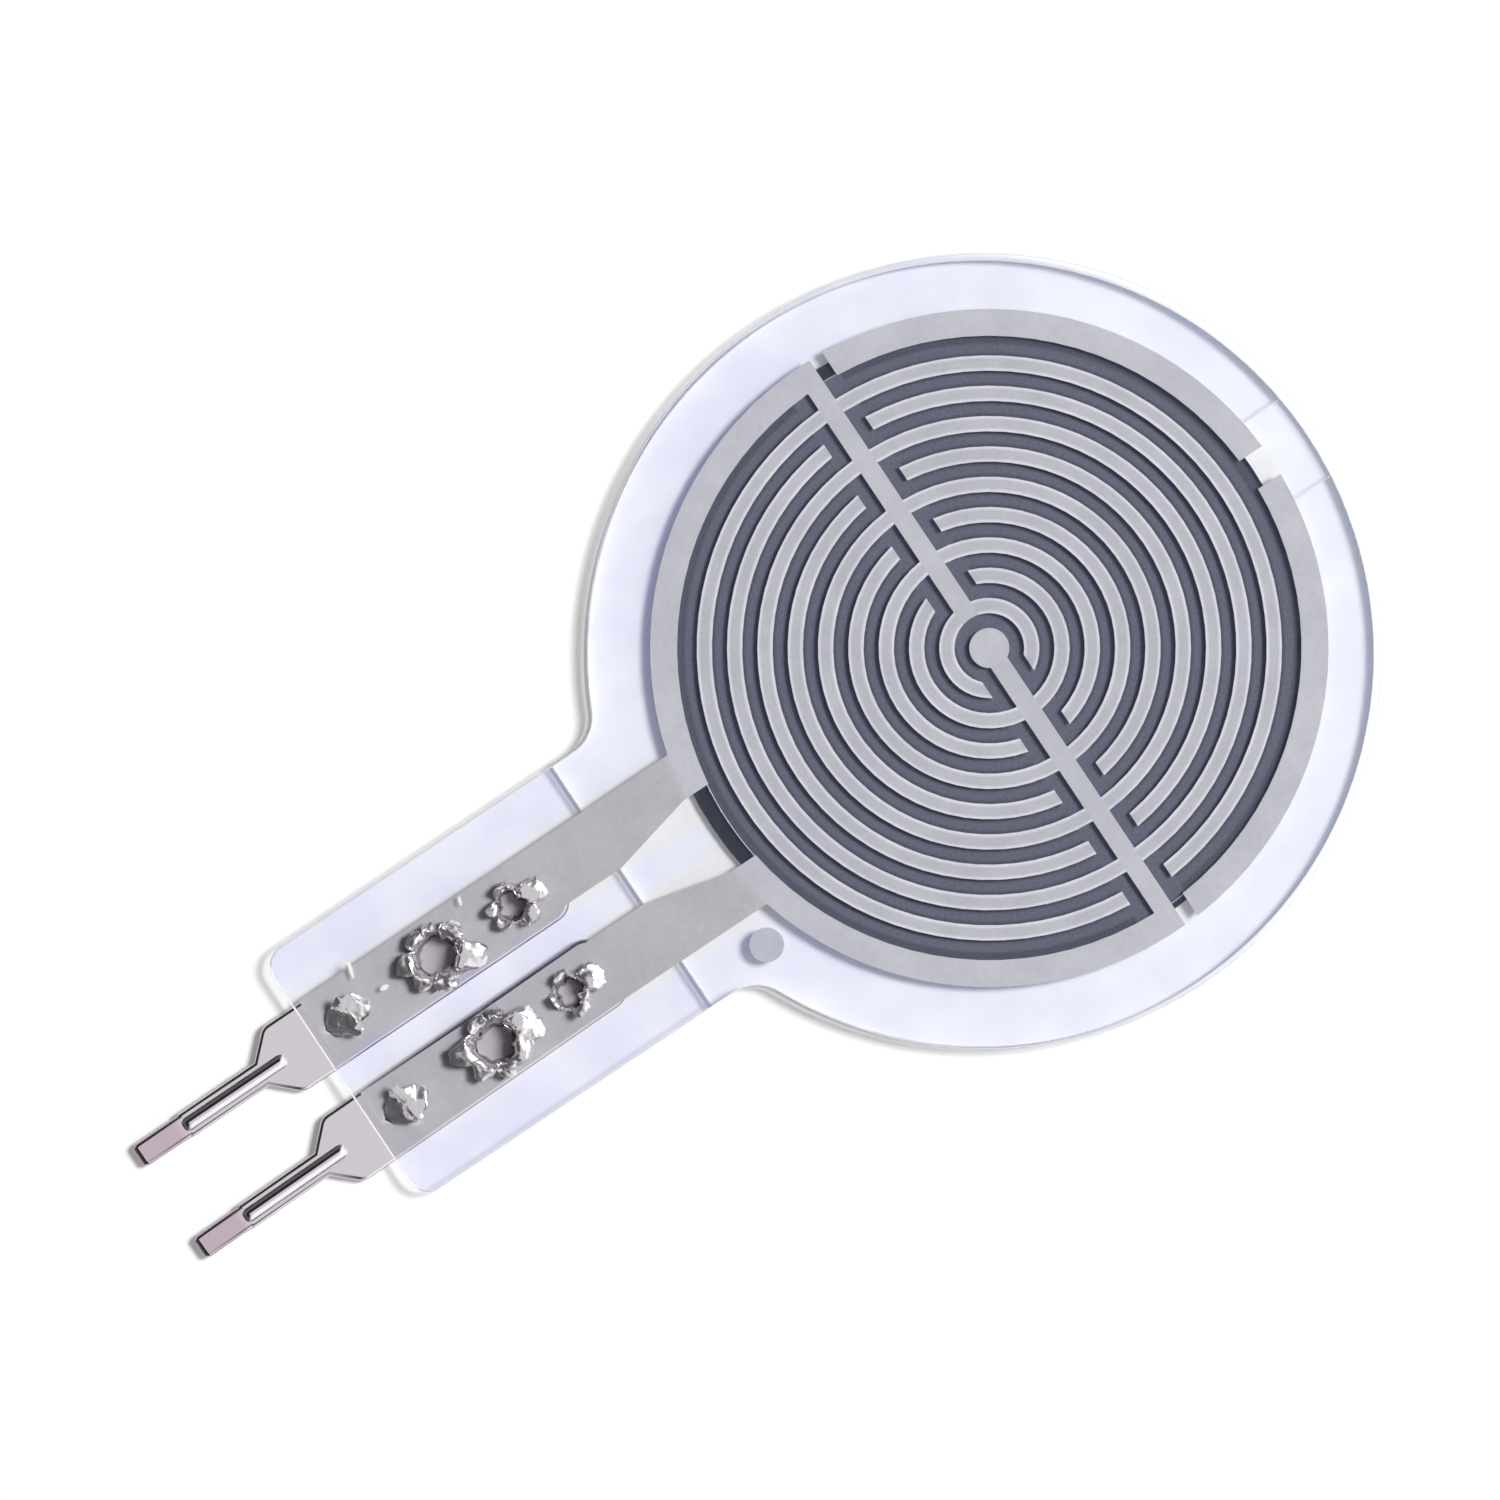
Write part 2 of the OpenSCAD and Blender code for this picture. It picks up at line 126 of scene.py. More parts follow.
# %% A finish: one Principled surface and what feeds it
class Finish:
    """A material under construction."""

    def __init__(self, name):
        self.material = bpy.data.materials.new(name)
        self.material.use_nodes = True
        self.tree = self.material.node_tree
        self.tree.nodes.clear()
        self._parts = None

    def add(self, kind, settings=None, inputs=None, output=0):
        node = self.tree.nodes.new(kind)
        for key, value in (settings or {}).items():
            setattr(node, key, value)
        for key, value in (inputs or {}).items():
            if isinstance(value, Wire):
                self.tree.links.new(value.socket, node.inputs[key])
            else:
                node.inputs[key].default_value = value
        return Wire(self, node.outputs[output])

    def place(self):
        """Object coordinates as three wires in millimetres."""
        if self._parts is None:
            at = self.add("ShaderNodeTexCoord", output="Object")
            split = self.add("ShaderNodeSeparateXYZ", inputs={0: at}).socket.node
            self._parts = [Wire(self, split.outputs[i]) * 1000.0 for i in range(3)]
        return self._parts

    def facing_up(self):
        """How level the surface is: 1 on faces, 0 on cut walls."""
        normal = self.add("ShaderNodeTexCoord", output="Normal")
        return abs(self.add("ShaderNodeSeparateXYZ", inputs={0: normal}, output=2))

    def step(self, value, start, end, low=0.0, high=1.0):
        """A soft step of value between start and end."""
        return self.add("ShaderNodeMapRange", {"interpolation_type": "SMOOTHSTEP"},
                        {"Value": value, "From Min": start, "From Max": end,
                         "To Min": low, "To Max": high})

    def noise(self, scale, detail=2.0, stretch=(1.0, 1.0, 1.0), seed=0.0):
        """Noise about 0.5, whose scale is in cells per millimetre."""
        at = self.add("ShaderNodeTexCoord", output="Object")
        at = self.add("ShaderNodeMapping", inputs={0: at, "Scale": stretch, "Location": (seed, 0, 0)})
        return self.add("ShaderNodeTexNoise", inputs={"Vector": at, "Scale": scale * 1000.0,
                                                      "Detail": detail, "Roughness": 0.6})

    def blend(self, factor, a, b):
        """The colour a where factor is 0, and b where it is 1."""
        values = [tuple(v) + (1.0,) if isinstance(v, tuple) and len(v) == 3 else v for v in (a, b)]
        return self.add("ShaderNodeMix", {"data_type": "RGBA"}, {0: factor, 6: values[0], 7: values[1]},
                        output=2)

    def bump(self, height, strength, distance):
        return self.add("ShaderNodeBump", inputs={"Height": height, "Strength": strength,
                                                  "Distance": distance * 0.001})

    def surface(self, **sockets):
        named = {key.replace("_", " "): value for key, value in sockets.items()}
        for key, value in named.items():
            if isinstance(value, tuple) and len(value) == 3:
                named[key] = tuple(value) + (1.0,)
        skin = self.add("ShaderNodeBsdfPrincipled", inputs=named)
        out = self.tree.nodes.new("ShaderNodeOutputMaterial")
        self.tree.links.new(skin.socket, out.inputs["Surface"])
        return self.material


# %% [markdown]
# ## Light and camera
#
# The photograph is a product shot from straight above on white. Three facts fix the light.
# The rings throw their shadow on the carbon to one side, so the key stands towards +X. Metal
# that tilts to +X or -Y shines and metal that tilts the other way is nearly black, so the room
# is bright on one side and dark on the other. Flat tin, which mirrors the ceiling, is a
# middle grey, so the ceiling is a little darker than white paper.

# %% World: a bright side, a dark side and a grey ceiling
world = bpy.data.worlds.new("studio")
bpy.context.scene.world = world
world.use_nodes = True
tree = world.node_tree
tree.nodes.clear()


def world_node(kind, **inputs):
    node = tree.nodes.new(kind)
    for key, value in inputs.items():
        socket = node.inputs[int(key[1:])] if key[0] == "i" and key[1:].isdigit() else node.inputs[key]
        if hasattr(value, "is_output"):
            tree.links.new(value, socket)
        else:
            socket.default_value = value
    return node


direction = world_node("ShaderNodeTexCoord").outputs["Generated"]
across = tree.nodes.new("ShaderNodeVectorMath")
across.operation = "DOT_PRODUCT"
tree.links.new(direction, across.inputs[0])
across.inputs[1].default_value = (0.80, -0.60, 0.0)
BRIGHT_SIDE, DARK_SIDE, LOW_WALL, CEILING, FILL = 1.25, 0.02, 0.13, 0.79, 0.38


def world_step(value, start, end, low=0.0, high=1.0):
    node = world_node("ShaderNodeMapRange", Value=value)
    node.interpolation_type = "SMOOTHSTEP"
    for key, number in {"From Min": start, "From Max": end, "To Min": low, "To Max": high}.items():
        node.inputs[key].default_value = number
    return node.outputs[0]


height = world_node("ShaderNodeSeparateXYZ", i0=direction).outputs[2]
side = world_step(across.outputs["Value"], -0.15, 0.5, DARK_SIDE, BRIGHT_SIDE)
above_skirting = world_step(height, 0.02, 0.25)
# Low down even the dark side is grey, so that tin seen from the side is not black
lit_side = tree.nodes.new("ShaderNodeMath")
lit_side.operation = "MAXIMUM"
tree.links.new(side, lit_side.inputs[0])
tree.links.new(world_step(height, 0.62, 0.45, 0.0, LOW_WALL), lit_side.inputs[1])
walls = tree.nodes.new("ShaderNodeMath")
walls.operation = "MULTIPLY"
tree.links.new(lit_side.outputs[0], walls.inputs[0])
tree.links.new(above_skirting, walls.inputs[1])
level = tree.nodes.new("ShaderNodeMix")
level.data_type = "FLOAT"
tree.links.new(world_step(height, 0.92, 0.99), level.inputs[0])
tree.links.new(walls.outputs[0], level.inputs[2])
level.inputs[3].default_value = CEILING
mirrored_ray = world_node("ShaderNodeLightPath").outputs["Is Glossy Ray"]
share = world_step(mirrored_ray, 0.0, 1.0, FILL, 1.0)
strength = tree.nodes.new("ShaderNodeMath")
strength.operation = "MULTIPLY"
tree.links.new(level.outputs[0], strength.inputs[0])
tree.links.new(share, strength.inputs[1])
room = world_node("ShaderNodeBackground", Strength=strength.outputs[0])
paper = world_node("ShaderNodeBackground")
paper.inputs["Color"].default_value = (1, 1, 1, 1)
room.inputs["Color"].default_value = (1, 1, 1, 1)
seen = world_node("ShaderNodeLightPath").outputs["Is Camera Ray"]
both = world_node("ShaderNodeMixShader", i0=seen, i1=room.outputs[0], i2=paper.outputs[0])
world_node("ShaderNodeOutputWorld", Surface=both.outputs[0])

# %% Key light
KEY_TURN, KEY_RISE, KEY_AWAY, KEY_SIZE, KEY_GLOW = -12.0, 48.0, 0.60, 0.22, 32.5
lamp = bpy.data.lights.new("key", "AREA")
lamp.shape = "DISK"
lamp.size = KEY_SIZE
lamp.energy = KEY_GLOW * math.pi * math.pi * KEY_SIZE ** 2 / 4
key_light = bpy.data.objects.new("key", lamp)
bpy.context.collection.objects.link(key_light)
aim = Vector((math.cos(math.radians(KEY_RISE)) * math.cos(math.radians(KEY_TURN)),
              math.cos(math.radians(KEY_RISE)) * math.sin(math.radians(KEY_TURN)),
              math.sin(math.radians(KEY_RISE))))
key_light.location = Vector((-0.005, 0, 0)) + KEY_AWAY * aim
key_light.rotation_euler = aim.to_track_quat("Z", "Y").to_euler()
print("key light", [round(c, 3) for c in key_light.location], "watts", round(lamp.energy, 3))

# %% Camera, straight down, turned as in the photograph
PHOTO_X, PHOTO_Y, PHOTO_WIDTH, PHOTO_TURN, PHOTO_AWAY = -5.74e-3, 1.10e-3, 34.46e-3, -33.7, 0.35
eye = bpy.data.cameras.new("camera")
eye.sensor_width = 36.0
eye.lens = 36.0 * PHOTO_AWAY / PHOTO_WIDTH
camera = bpy.data.objects.new("camera", eye)
bpy.context.collection.objects.link(camera)
camera.location = (PHOTO_X, PHOTO_Y, PHOTO_AWAY)
camera.rotation_euler = (0, 0, math.radians(PHOTO_TURN))
bpy.context.scene.camera = camera
bpy.context.scene.view_settings.view_transform = "Standard"
# The rim is six clear faces deep, and light crosses them on the way down and again on the way up
bpy.context.scene.cycles.transparent_max_bounces = 32
bpy.context.scene.cycles.max_bounces = 6
bpy.context.scene.cycles.diffuse_bounces = 2
bpy.context.scene.cycles.glossy_bounces = 3

# %% Floor: white paper right under the lower film
paper_finish = Finish("paper")
seen = paper_finish.add("ShaderNodeLightPath", output="Is Camera Ray")
paper_white = paper_finish.surface(Base_Color=(0.86, 0.86, 0.86), Roughness=0.9, Specular_IOR_Level=0.0,
                                   Emission_Color=(1.0, 1.0, 1.0), Emission_Strength=seen * 0.20)
floor_bm = bmesh.new()
bmesh.ops.create_grid(floor_bm, x_segments=1, y_segments=1, size=0.3)
bmesh.ops.translate(floor_bm, verts=floor_bm.verts, vec=(0, 0, size_before[0][2] - 2e-6))
floor_mesh = bpy.data.meshes.new("floor")
floor_bm.to_mesh(floor_mesh)
floor_bm.free()
floor = bpy.data.objects.new("floor", floor_mesh)
bpy.context.collection.objects.link(floor)
floor.data.materials.append(paper_white)

# %% [markdown]
# ## Plates
#
# Film, adhesive and strip are all flat sheets with a cut outline. A flat curve does this in
# one object: its splines are the outline and the holes, Blender fills between them, and the
# curve's own bevel rounds every cut edge the same. It is made a mesh before it is placed, so
# what is kept is an ordinary closed shell.

# %% Outlines, in millimetres
def arc(x, y, r, start, end, count):
    """Points along an arc, both ends included."""
    turns = [math.radians(start + (end - start) * i / count) for i in range(count + 1)]
    return [(x + r * math.cos(t), y + r * math.sin(t)) for t in turns]


DISC_R, TAIL_HALF, TAIL_END, NECK_R, CORNER_R = 9.15, 3.33, -17.75, 0.95, 0.55


def neck(x, r):
    """Centre of the fillet between a disc at x and the tail, and the angle at which it touches."""
    rise = TAIL_HALF + NECK_R
    run = math.sqrt((r + NECK_R) ** 2 - rise ** 2)
    return x - run, rise, math.degrees(math.atan2(rise, -run))


def mirrored(points):
    return [(x, -y) for x, y in reversed(points)]


def film_outline(x, r, end, corner):
    """The die-cut outline: a disc at x of radius r, with a tail as far as end."""
    cx, cy, touch = neck(x, r)
    half = arc(x, 0, r, 0, touch, 120) + arc(cx, cy, NECK_R, touch - 180, -90, 14)[1:]
    if corner:
        half += arc(end + corner, TAIL_HALF - corner, corner, 90, 180, 12)
    else:
        half.append((end, TAIL_HALF))
    return half + mirrored(half)[:-1]


# %% Plate helper
def shell(name, bm):
    """Closes, turns outwards and keeps a mesh as a new object."""
    bmesh.ops.remove_doubles(bm, verts=bm.verts, dist=1e-7)
    bmesh.ops.recalc_face_normals(bm, faces=bm.faces)
    mesh = bpy.data.meshes.new(name)
    bm.to_mesh(mesh)
    open_edges = sum(1 for e in bm.edges if not e.is_manifold)
    print(f"{name}: {len(bm.faces)} faces, {open_edges} open edges")
    bm.free()
    piece = bpy.data.objects.new(name, mesh)
    bpy.context.collection.objects.link(piece)
    return piece


def plate_bm(outlines, bottom, top, edge, segments=2):
    """A sheet between two heights with its cut edges rounded, as a bmesh in metres."""
    curve = bpy.data.curves.new("outline", "CURVE")
    curve.dimensions = "2D"
    curve.fill_mode = "BOTH"
    curve.extrude = (top - bottom) * MM / 2 - edge * MM
    curve.bevel_depth = edge * MM
    curve.bevel_resolution = segments
    curve.offset = -edge * MM
    for points in outlines:
        spline = curve.splines.new("POLY")
        spline.points.add(len(points) - 1)
        for slot, (x, y) in zip(spline.points, points):
            slot.co = (x * MM, y * MM, 0, 1)
        spline.use_cyclic_u = True
    holder = bpy.data.objects.new("outline", curve)
    bpy.context.collection.objects.link(holder)
    flat = bpy.data.meshes.new_from_object(holder.evaluated_get(bpy.context.evaluated_depsgraph_get()))
    bm = bmesh.new()
    bm.from_mesh(flat)
    bmesh.ops.remove_doubles(bm, verts=bm.verts, dist=1e-7)
    bmesh.ops.translate(bm, verts=bm.verts, vec=(0, 0, (top + bottom) * MM / 2))
    bpy.data.objects.remove(holder)
    bpy.data.curves.remove(curve)
    bpy.data.meshes.remove(flat)
    return bm


MM = 0.001

# %% [markdown]
# ## Where the terminals stand
#
# Each terminal was crimped by hand feed: one sits a tenth of a millimetre off its trace and the
# other is turned by a degree. Both are built in the terminal's own frame, with X from the film's
# end inwards and Z from the strip's top, and are then put where the CAD has them.

# %% Terminal frames
STRIP_TOP, CROWN_AT, SMALL_AT, LANCE_AT = 0.255, 3.4, 5.48, 0.9
LARGE_R, SMALL_R, PETAL = 0.46, 0.33, 0.10


def terminal_frame(y, turn):
    middle = Matrix.Translation((CROWN_AT * MM, 0, 0))
    return (Matrix.Translation(((TAIL_END + CROWN_AT) * MM, y * MM, STRIP_TOP * MM))
            @ Matrix.Rotation(math.radians(turn), 4, "Z") @ middle.inverted())


FRAMES = {"a": terminal_frame(1.15, 0.3), "b": terminal_frame(-1.28, 1.0)}


def placed(points, matrix):
    """Plan points of a terminal, in the model's plan."""
    moved = [matrix @ Vector((x * MM, y * MM, 0)) for x, y in points]
    return [(p.x / MM, p.y / MM) for p in moved]


# %% Holes that the terminals tore through the film
TORN = PETAL + 0.02
holes = []
for matrix in FRAMES.values():
    holes.append(placed(arc(CROWN_AT, 0, LARGE_R + TORN, 0, 350, 35), matrix))
    holes.append(placed(arc(SMALL_AT, 0, SMALL_R + TORN, 0, 350, 35), matrix))
    holes.append(placed([(LANCE_AT - 0.62, 0), (LANCE_AT, -0.52), (LANCE_AT + TORN, -0.52),
                         (LANCE_AT + TORN, 0.52), (LANCE_AT, 0.52)], matrix))

# %% The upper film
film_top = shell("film_upper", plate_bm([film_outline(0, DISC_R, TAIL_END, CORNER_R)] + holes,
                                        0.279, 0.4, 0.04))

# %% The lower film and the adhesive
STEP_X, LOWER_IN = -9.75, 0.11
LOWER_R = DISC_R - LOWER_IN
lower = film_outline(-LOWER_IN, LOWER_R, STEP_X, 0)
film_bottom = shell("film_lower", plate_bm([lower], 0.0, 0.121, 0.03))

VENT_HALF, OPENING_R, PRINT_X, BAND_R = 1.05, 7.188, 0.13, 7.788
outer_turn = math.degrees(math.asin(VENT_HALF / LOWER_R))
inner_turn = math.degrees(math.asin(VENT_HALF / OPENING_R))
cx, cy, touch = neck(-LOWER_IN, LOWER_R)
upper_half = (arc(-LOWER_IN, 0, LOWER_R, outer_turn, touch, 116)
              + arc(cx, cy, NECK_R, touch - 180, -90, 14)[1:] + [(STEP_X, TAIL_HALF)])
ring_inside = arc(PRINT_X, 0, OPENING_R, -inner_turn, inner_turn - 360, 160)
spacer = shell("spacer", plate_bm([upper_half + mirrored(upper_half) + ring_inside],
                                  0.149, 0.250, 0.02))

# %% [markdown]
# ## Terminals
#
# A terminal is one stamping: a body with round corners, shoulders, a pin with a stiffening
# bead, and a flat tip. The press rolled its upper edges round. The punch drew two collars up
# through the film, tore them into petals and folded the petals down like a paper crown.

# %% The strip with its pin
BODY_HALF, INSERT, BARE, SHOULDER, PIN_HALF = 0.89, 6.7, 0.85, 0.6, 0.32
PIN_ROOT, TIP_ROOT, TIP_HALF = -1.45, -3.6, 0.29
TIP_END, LEAD = TIP_ROOT - 1.27, 0.12
STRIP = 0.2


def strip_outline():
    lean = math.degrees(math.atan((BODY_HALF - PIN_HALF) / SHOULDER))
    back = 0.35 * math.tan(math.radians(lean / 2))
    half = (arc(INSERT - 0.5, BODY_HALF - 0.5, 0.5, 0, 90, 12)
            + arc(back - BARE, BODY_HALF - 0.35, 0.35, 90, 90 + lean, 8)
            + [(PIN_ROOT, PIN_HALF), (TIP_ROOT, PIN_HALF), (TIP_ROOT, TIP_HALF),
               (TIP_END + LEAD, TIP_HALF), (TIP_END, TIP_HALF - 0.06)])
    return half + mirrored(half)


def strip_bm():
    cuts = [arc(CROWN_AT, 0, LARGE_R, 0, 350, 35), arc(SMALL_AT, 0, SMALL_R, 0, 350, 35),
            [(LANCE_AT - 0.4, 0), (LANCE_AT - 0.05, -0.25), (LANCE_AT - 0.05, 0.25)]]
    bm = plate_bm([strip_outline()] + cuts, -STRIP, 0.0, 0.09, 4)
    # The tip's end is pressed down to a blunt wedge
    cut = (TIP_END + LEAD) * MM
    bmesh.ops.bisect_plane(bm, geom=bm.verts[:] + bm.edges[:] + bm.faces[:], dist=1e-8,
                           plane_co=(cut, 0, 0), plane_no=(1, 0, 0))
    for v in bm.verts:
        if v.co.x < cut - 1e-6:
            share = (cut - v.co.x) / (LEAD * MM)
            v.co.z = -STRIP * MM / 2 + (v.co.z + STRIP * MM / 2) * (1 - 0.45 * share)
    return bm


# %% The bead: a raised wave along the pin, drawn section by section
BEAD_HALF, BEAD_H, BEAD_FROM, BEAD_TO, BEAD_RAMP = 0.17, 0.10, -0.78, -3.62, 0.17


def bead_bm():
    waves = [-1, -0.9, -0.75, -0.6, -0.45, -0.3, -0.15, 0, 0.15, 0.3, 0.45, 0.6, 0.75, 0.9, 1]
    bm = bmesh.new()
    length = BEAD_FROM - BEAD_TO
    stations = [0, 0.03, 0.06, 0.1, 0.14, 0.18, 0.25, length / 2]
    stations += [length - s for s in stations[-2::-1]]
    section = [bm.verts.new((BEAD_FROM * MM, w * BEAD_HALF * MM, 0)) for w in waves]
    section += [bm.verts.new((BEAD_FROM * MM, w * BEAD_HALF * MM, 0)) for w in (1, -1)]
    edges = [bm.edges.new((section[i - 1], section[i])) for i in range(len(section))]
    loops = [section]
    for _ in stations[1:]:
        fresh = {g for g in bmesh.ops.extrude_edge_only(bm, edges=edges)["geom"]
                 if isinstance(g, bmesh.types.BMVert)}
        section = [next(e.other_vert(v) for e in v.link_edges if e.other_vert(v) in fresh) for v in section]
        edges = [bm.edges.get((section[i - 1], section[i])) for i in range(len(section))]
        loops.append(section)
    for s, section in zip(stations, loops):
        ramp = min(1.0, min(s, length - s) / BEAD_RAMP)
        swell = math.sin(ramp * math.pi / 2) ** 0.8
        for w, v in zip(waves, section):
            rise = 1 - abs(w) ** 1.8
            v.co = ((BEAD_FROM - s) * MM, w * BEAD_HALF * (0.6 + 0.4 * swell) * MM,
                    (BEAD_H * rise * swell - 0.006) * MM)
        for side, v in zip((1, -1), section[-2:]):
            v.co = ((BEAD_FROM - s) * MM, side * 0.1 * MM, -0.1 * MM)
    for end in (loops[0], loops[-1]):
        bmesh.ops.contextual_create(bm, geom=end)
    bmesh.ops.recalc_face_normals(bm, faces=bm.faces)
    return bm


# %% [markdown]
# ## Torn petals
#
# A petal starts as a strip of the collar's wall. The same edge row is extruded again and again:
# up the wall, round a tight fold, and down a slope as far as the film. Each row narrows a
# little, and the last ones wander, because torn metal never ends in a straight line.

# %% Petal path
FOLD, STRIP_ABOVE = 0.14, 0.4 - STRIP_TOP
BENDS, ROWS = 8, 14


def fold_and_flap(top, reach, start, crease=0.0):
    """The tight fold from the angle start, and the flap down to the film.

    Each row is (out, height, normal out, normal up, share of the flap)."""
    mid = PETAL / 2
    rho = FOLD - mid
    centre_z = top - FOLD
    run = reach - FOLD
    slope = math.atan2(centre_z + rho - (STRIP_ABOVE + 0.02 + mid), run)
    rows = []
    for i in range(1, BENDS + 1):
        t = start - (start - math.pi / 2 + slope) * i / BENDS
        rows.append((rho + rho * math.cos(t), centre_z + rho * math.sin(t), math.cos(t), math.sin(t), 0.0))
    out, height = rows[-1][:2]
    length = run / math.cos(slope)
    for i in range(1, ROWS + 1):
        share = i / ROWS
        s = length * share
        dip = crease * math.exp(-((share - 0.5) / 0.12) ** 2)
        rows.append((out + s * math.cos(slope), height - s * math.sin(slope) - dip,
                     math.sin(slope), math.cos(slope), share))
    return rows


# %% A sheet lofted row by row
ACROSS = [-1.0, -0.95, -0.82] + [i / 6 for i in range(-4, 5)] + [0.82, 0.95, 1.0]


def loft_bm(rings, capped=True):
    """A skin through a list of rings of points in millimetres, closed by end faces if capped."""
    bm = bmesh.new()
    ring = [bm.verts.new([c * MM for c in co]) for co in rings[0]]
    edges = [bm.edges.new((ring[i - 1], ring[i])) for i in range(len(ring))]
    if capped:
        bmesh.ops.edgeloop_fill(bm, edges=edges)
    for row in rings[1:]:
        fresh = {g for g in bmesh.ops.extrude_edge_only(bm, edges=edges)["geom"]
                 if isinstance(g, bmesh.types.BMVert)}
        ring = [next(e.other_vert(v) for e in v.link_edges if e.other_vert(v) in fresh) for v in ring]
        for v, co in zip(ring, row):
            v.co = [c * MM for c in co]
        edges = [bm.edges.get((ring[i - 1], ring[i])) for i in range(len(ring))]
    if capped:
        bmesh.ops.edgeloop_fill(bm, edges=edges)
    bmesh.ops.remove_doubles(bm, verts=bm.verts, dist=1e-8)
    bmesh.ops.recalc_face_normals(bm, faces=bm.faces)
    return bm


def half_thickness(a, side, share):
    """Half the sheet's thickness, less at its torn sides and end."""
    return side * PETAL / 2 * (1 - 0.45 * share ** 4) * (0.45 if abs(a) == 1.0 else 1.0)


# %% A crown: one torn ring of metal
TURNS = 96


def petal_share(turn, petals):
    """The petal that stands at an angle, and how much of it: 1 on its axis, 0 in a tear."""
    best = (0.0, petals[0])
    for petal in petals:
        off = abs((turn - petal[0] + 180) % 360 - 180) / petal[1]
        if off < 1:
            best = max(best, (min(1.0, (1 - off) * petal[3]), petal))
    return best


def crown_bm(radius, top, petals, direction, chance):
    """A ring whose wall rises from the strip, leans over the hole, folds and ends in torn petals.

    A petal is its direction, half its spread in degrees, its reach and its bluntness."""
    columns = []
    waves = [(k, reach, chance.uniform(0, math.tau)) for k, reach in ((2, 0.05), (3, 0.05), (5, 0.035), (9, 0.02))]
    for i in range(TURNS):
        turn = 360 * i / TURNS
        facing = max(0.0, math.cos(math.radians(turn - direction)))
        foot = sum(reach * math.sin(k * math.radians(turn) + phase) for k, reach, phase in waves)
        lean = 0.04 * facing - 0.06 - 0.7 * foot
        share, petal = petal_share(turn, petals)
        high = top - (1 - min(1.0, 2.0 * share)) * 0.6 * (top - STRIP_ABOVE) - 0.12 * (1 - facing ** 0.5)
        reach = 0.15 + (petal[2] - 0.15) * share * chance.uniform(0.88, 1.0)
        middle = [(foot - 0.1, -0.185, -1.0, 0.0, 0.0), (0.7 * foot - 0.06, -0.1, -0.85, 0.5, 0.0),
                  (0.4 * foot, 0.0, -0.95, 0.3, 0.0), (-0.3 * lean, 0.5 * (high - FOLD), -1.0, 0.0, 0.0), (-0.8 * lean, high - FOLD, -1.0, 0.0, 0.0)]
        middle += [(out - lean * (1 - along) ** 2, z, n_out, n_up, along)
                   for out, z, n_out, n_up, along in fold_and_flap(high, reach, math.pi)]
        skin = []
        for side in (1, -1):
            for out, z, n_out, n_up, along in (middle if side == 1 else middle[::-1]):
                h = side * PETAL / 2 * (1 - 0.6 * along ** 3)
                skin.append((radius + PETAL / 2 + out + n_out * h, z + n_up * h))
        columns.append(skin + skin[:1])
    rings = []
    for k in range(len(columns[0])):
        rings.append([(columns[i][k][0] * math.cos(math.tau * i / TURNS),
                       columns[i][k][0] * math.sin(math.tau * i / TURNS), columns[i][k][1])
                      for i in range(TURNS)])
    return loft_bm(rings, capped=False)


# %% The lance: a ramp drawn up to a ridge, and a tongue folded over it
def lance_bm(top, length, width, reach):
    centre_z = top - FOLD
    ramp_x = FOLD + length
    ramp_l = math.sqrt(ramp_x ** 2 + centre_z ** 2 - FOLD ** 2)
    rise = math.atan2(centre_z, ramp_x) + math.atan2(FOLD, ramp_l)
    rho = FOLD - PETAL / 2
    foot = (FOLD - rho * math.sin(rise), centre_z + rho * math.cos(rise))
    half = width / 2
    rings = []
    for i in range(9):
        back = ramp_l * (1 - i / 8)
        rings.append((foot[0] - back * math.cos(rise), foot[1] - back * math.sin(rise),
                      -math.sin(rise), math.cos(rise), 0.0, max(0.06, math.sin(math.pi * i / 16) ** 0.7)))
    for k, (out, height, n_out, n_up, share) in enumerate(fold_and_flap(top, reach, math.pi / 2 + rise)[:-1]):
        past = min(1.0, max(0.0, out + PETAL / 2 - (reach - 0.8 * half)) / (0.8 * half))
        taper = 1 - 0.2 * min(1.0, k / 5)
        rings.append((out + PETAL / 2, height, n_out, n_up, share, taper * math.sqrt(max(0.03, 1 - past ** 2))))
    rows = []
    for out, height, n_out, n_up, share, broad in rings:
        rows.append([(out + n_out * half_thickness(a, side, share), a * half * broad,
                      height + n_up * half_thickness(a, side, share))
                     for side in (1, -1) for a in (ACROSS if side == 1 else ACROSS[::-1])])
    return loft_bm(rows)


# %% Wear and tear: metal that has been torn and pressed is never even
def crumple(bm, top, waves, seed):
    """Pushes a crown's metal about, more the higher it stands, and never above its top.

    Each wave is its cells per millimetre, its reach in millimetres, and whether it creases."""
    for v in bm.verts:
        at = v.co / MM
        high = min(1.0, max(0.35, at.z / STRIP_ABOVE))
        push = Vector()
        for scale, reach, creases in waves:
            wave = noise.noise_vector(at * scale + Vector((seed, scale, 0)))
            if creases:
                wave = Vector([1 - 2 * abs(c) ** 0.7 for c in wave]) * 0.6
            push += wave * reach
        push *= high
        # The ends lie pressed on the film, so they are pushed up and down least
        lift = 0.8 * min(1.0, max(0.2, (at.z - STRIP_ABOVE - 0.04) / 0.12))
        v.co = (v.co.x + push.x * MM, v.co.y + push.y * MM,
                max(-0.19 * MM, min(top * MM, v.co.z + lift * push.z * MM)))


# %% Terminal helper
def joined(target, source, matrix):
    """Adds one bmesh to another through a scratch mesh."""
    bmesh.ops.transform(source, matrix=matrix, verts=source.verts)
    scratch = bpy.data.meshes.new("scratch")
    source.to_mesh(scratch)
    source.free()
    target.from_mesh(scratch)
    bpy.data.meshes.remove(scratch)


